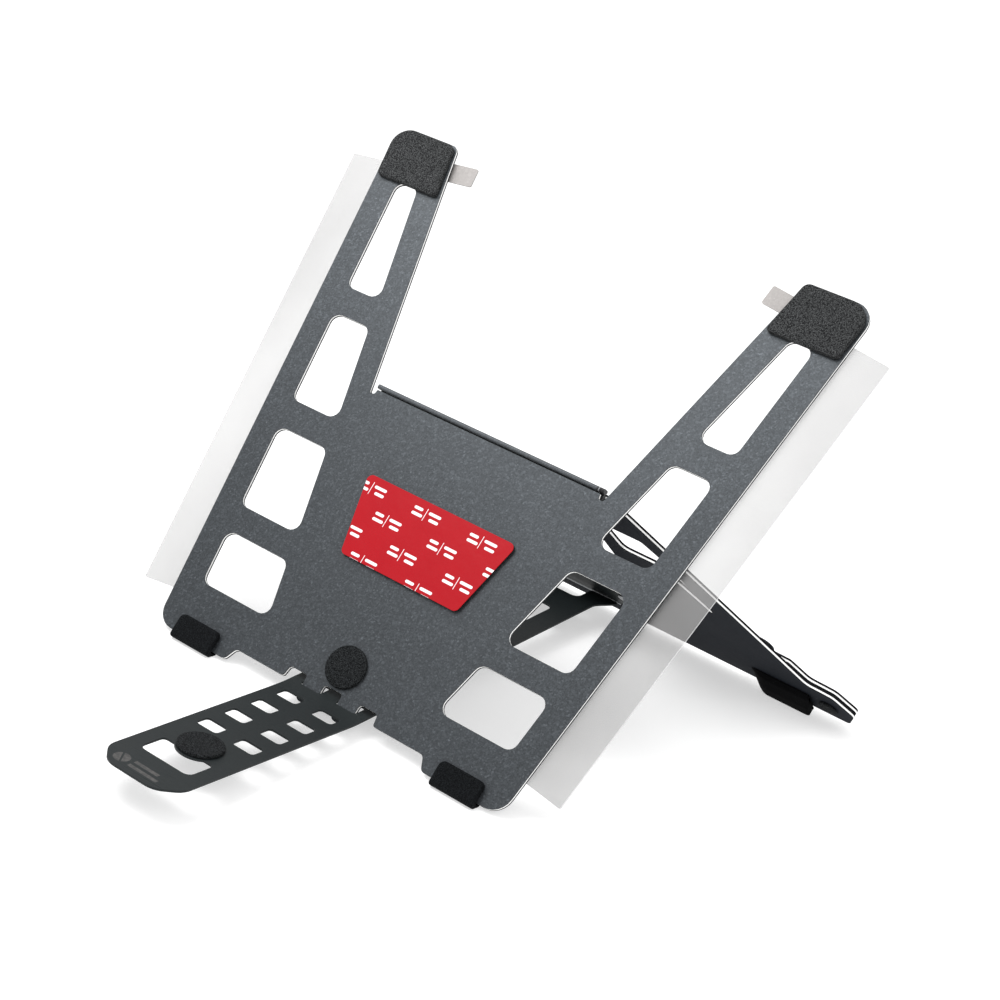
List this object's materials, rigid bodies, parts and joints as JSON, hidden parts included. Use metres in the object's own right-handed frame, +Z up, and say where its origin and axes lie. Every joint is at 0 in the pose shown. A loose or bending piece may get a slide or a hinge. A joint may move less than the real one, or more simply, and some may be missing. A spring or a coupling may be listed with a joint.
{
  "type": "laptop stand",
  "caption": "Flat folding laptop stand: slanted windowed plate with two arms, fold-away rear leg, perforated locking strip and two sliding clear side wings.",
  "frame": {"origin": "centre of the bounding box's footprint, on the table", "axes": "+X to the stand's right as seen by the user, +Y backwards from the user, +Z up"},
  "size_m": [0.289, 0.2944, 0.1912],
  "materials": {
    "sheet": "fine-grained dark anthracite satin lacquer",
    "black": "matt black",
    "strip": "matt black polypropylene",
    "foam": "granular black foam rubber",
    "rubber": "matt black rubber",
    "red": "red release film",
    "clear": "clear polycarbonate",
    "frost": "frosted plastic",
    "steel": "plain steel"
  },
  "bodies": {
    "plate": {"front_plate": "sheet", "hinge_bead": "sheet", "hinge_pin": "black", "arm_pad_R": "foam", "arm_pad_L": "foam", "lip_pad_R": "foam", "lip_pad_L": "foam", "plate_pad": "foam", "tape_foam": "black", "tape_liner": "red", "wing_guide_R": "black", "wing_guide_L": "black"},
    "leg": {"leg_frame": "sheet", "leg_doubler_R": "sheet", "leg_doubler_L": "sheet", "foot_R": "rubber", "foot_L": "rubber", "toe_pad_R": "foam", "toe_pad_L": "foam", "back_pad_R": "foam", "back_pad_L": "foam", "strip_flange": "strip", "flange_rivet_R": "steel", "flange_rivet_L": "steel", "strip_pin": "steel"},
    "strip": {"strip": "strip", "strip_pad": "foam"},
    "wing_right": {"wing_R": "clear", "wing_tab_R": "frost"},
    "wing_left": {"wing_L": "clear", "wing_tab_L": "frost"}
  },
  "joints": [
    {"name": "leg_fold", "type": "hinge", "parent": "plate", "child": "leg", "pos_m": [0, 0.03907, 0.10011], "axis": [-1, 0, 0], "range_deg": [0, 85]},
    {"name": "strip_swing", "type": "hinge", "parent": "leg", "child": "strip", "pos_m": [0, 0.13407, 0.01137], "axis": [1, 0, 0], "range_deg": [0, 136]},
    {"name": "wing_slide_R", "type": "slide", "parent": "plate", "child": "wing_right", "axis": [-0.9919, 0.0776, 0.1005], "range_m": [0, 0.016]},
    {"name": "wing_slide_L", "type": "slide", "parent": "plate", "child": "wing_left", "axis": [0.9919, 0.0776, 0.1005], "range_m": [0, 0.016]}
  ],
  "couplings": [
    {"joint": "strip_swing", "follows": "leg_fold", "ratio": 1.598}
  ]
}
